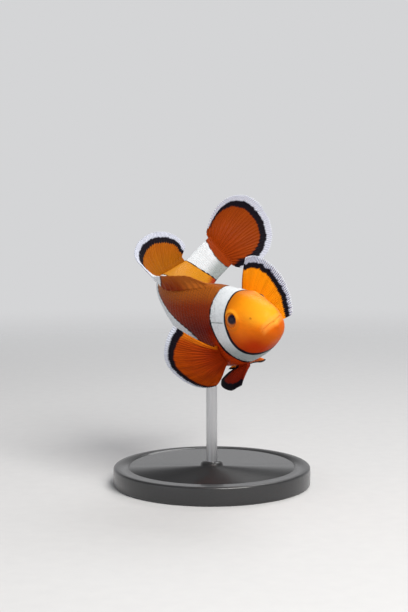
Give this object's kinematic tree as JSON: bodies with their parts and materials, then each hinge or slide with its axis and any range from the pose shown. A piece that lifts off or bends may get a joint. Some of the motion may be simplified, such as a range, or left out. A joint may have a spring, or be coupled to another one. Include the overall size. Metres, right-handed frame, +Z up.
{
  "type": "clownfish",
  "caption": "Life-size still model of a swimming clownfish, body curved to its left and fins spread, on a round base with one rod.",
  "frame": {"origin": "middle of the underside of the stand's base", "axes": "+Z up; the fish's snout points towards -Y and +X, 60 degrees from +X, and its left side is raised"},
  "size_m": [0.054, 0.0597, 0.0785],
  "materials": {
    "head_orange": "moist skin, orange",
    "band_white": "moist skin, white band",
    "eye_black": "clear wet eye",
    "saddle_brown": "scaled skin, brown over orange",
    "flank_orange": "scaled skin, orange",
    "fin_orange": "thin fin, orange with a black line and a pale edge",
    "stand_black": "satin black",
    "rod_steel": "brushed"
  },
  "bodies": {
    "root": {"anal_fin": "fin_orange", "caudal_fin": "fin_orange", "dorsal_fin_soft": "fin_orange", "dorsal_fin_spiny": "fin_orange", "eye_left": "eye_black", "eye_right": "eye_black", "gill_cover_left": "band_white", "gill_cover_right": "band_white", "head": "head_orange", "lower_jaw": "head_orange", "pectoral_fin_left": "fin_orange", "pectoral_fin_right": "fin_orange", "pelvic_fin_left": "fin_orange", "pelvic_fin_right": "fin_orange", "stand_base": "stand_black", "stand_rod": "rod_steel", "tail_stalk": "flank_orange", "trunk_front": "saddle_brown", "trunk_rear": "flank_orange"}
  },
  "joints": []
}
